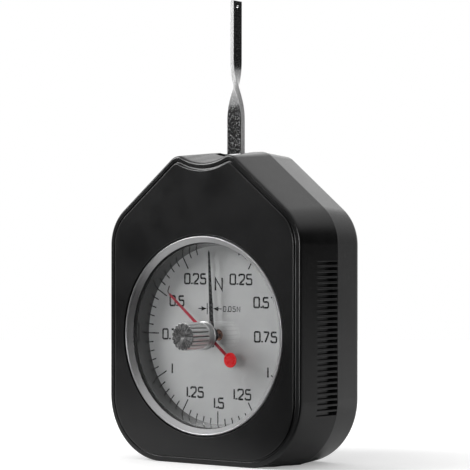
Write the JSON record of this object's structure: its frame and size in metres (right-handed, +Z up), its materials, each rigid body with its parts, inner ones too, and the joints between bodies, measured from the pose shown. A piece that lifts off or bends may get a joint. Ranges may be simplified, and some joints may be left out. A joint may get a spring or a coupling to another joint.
{
  "type": "dial force gauge",
  "caption": "Hand-held dial tension gauge: a moulded case with a round window, a force needle, a resettable peak pointer and a sprung lever whose twisted arm takes the load.",
  "frame": {"origin": "centre of the flat base, on the plane midway through the depth of the case", "axes": "+Z up along the contact arm, -Y out of the dial towards its reader, +X to the reader's right"},
  "size_m": [0.0622, 0.0332, 0.1164],
  "materials": {
    "case_plastic": "fine-grained satin black moulding",
    "case_screw": "blackened steel screw",
    "bezel": "fine turned satin ring",
    "crystal": "clear polished",
    "seal": "soft black",
    "bright_metal": "polished plating",
    "dial": "matte pale grey print ground",
    "brass": "satin",
    "steel": "ground steel",
    "spring_steel": "blued strip",
    "pointer_black": "matte black",
    "pointer_red": "satin red",
    "catch_dark": "dark satin",
    "washer_brown": "dark bronze"
  },
  "bodies": {
    "case": {"front_case": "case_plastic", "rear_cover": "case_plastic", "case_screws": "case_screw", "bezel_ring": "bezel", "crystal": "crystal", "crystal_seal": "seal", "crystal_bush": "bright_metal", "dial_plate": "dial", "front_plate": "brass", "back_plate": "brass", "plate_pillars": "brass", "pillar_screws": "steel", "movement_screws": "steel", "arbor_bushes": "brass", "pivot_bushes": "brass", "stop_pins": "steel", "spring_studs": "steel"},
    "lever": {"pivot_shaft": "steel", "sector_gear": "brass", "arm_clamp": "steel", "clamp_screws": "steel", "contact_arm": "steel", "spring_collet": "brass", "measuring_spring": "spring_steel"},
    "needle": {"force_needle": "pointer_black", "needle_bush": "brass", "pinion_arbor": "steel", "hairspring_collet": "brass", "hairspring": "spring_steel"},
    "peak": {"reset_knob": "bright_metal", "peak_stem": "steel", "friction_washer": "washer_brown", "peak_needle": "pointer_red", "peak_catch": "catch_dark", "peak_weight": "pointer_red"}
  },
  "joints": [
    {"name": "lever_swing", "type": "hinge", "parent": "case", "child": "lever", "pos_m": [0, 0.0015, 0.06404], "axis": [0, 1, 0], "range_deg": [-10.7, 10.7], "stiffness_Nm_per_rad": 0.41, "deforming": ["measuring_spring"]},
    {"name": "needle_turn", "type": "hinge", "parent": "case", "child": "needle", "pos_m": [0, -0.0079, 0.032], "axis": [0, 1, 0], "range_deg": [-180, 180], "deforming": ["hairspring"]},
    {"name": "peak_turn", "type": "hinge", "parent": "case", "child": "peak", "pos_m": [0, -0.0095, 0.032], "axis": [0, 1, 0], "range_deg": [-304, 42]}
  ],
  "couplings": [
    {"joint": "needle_turn", "follows": "lever_swing", "ratio": -16.8}
  ]
}
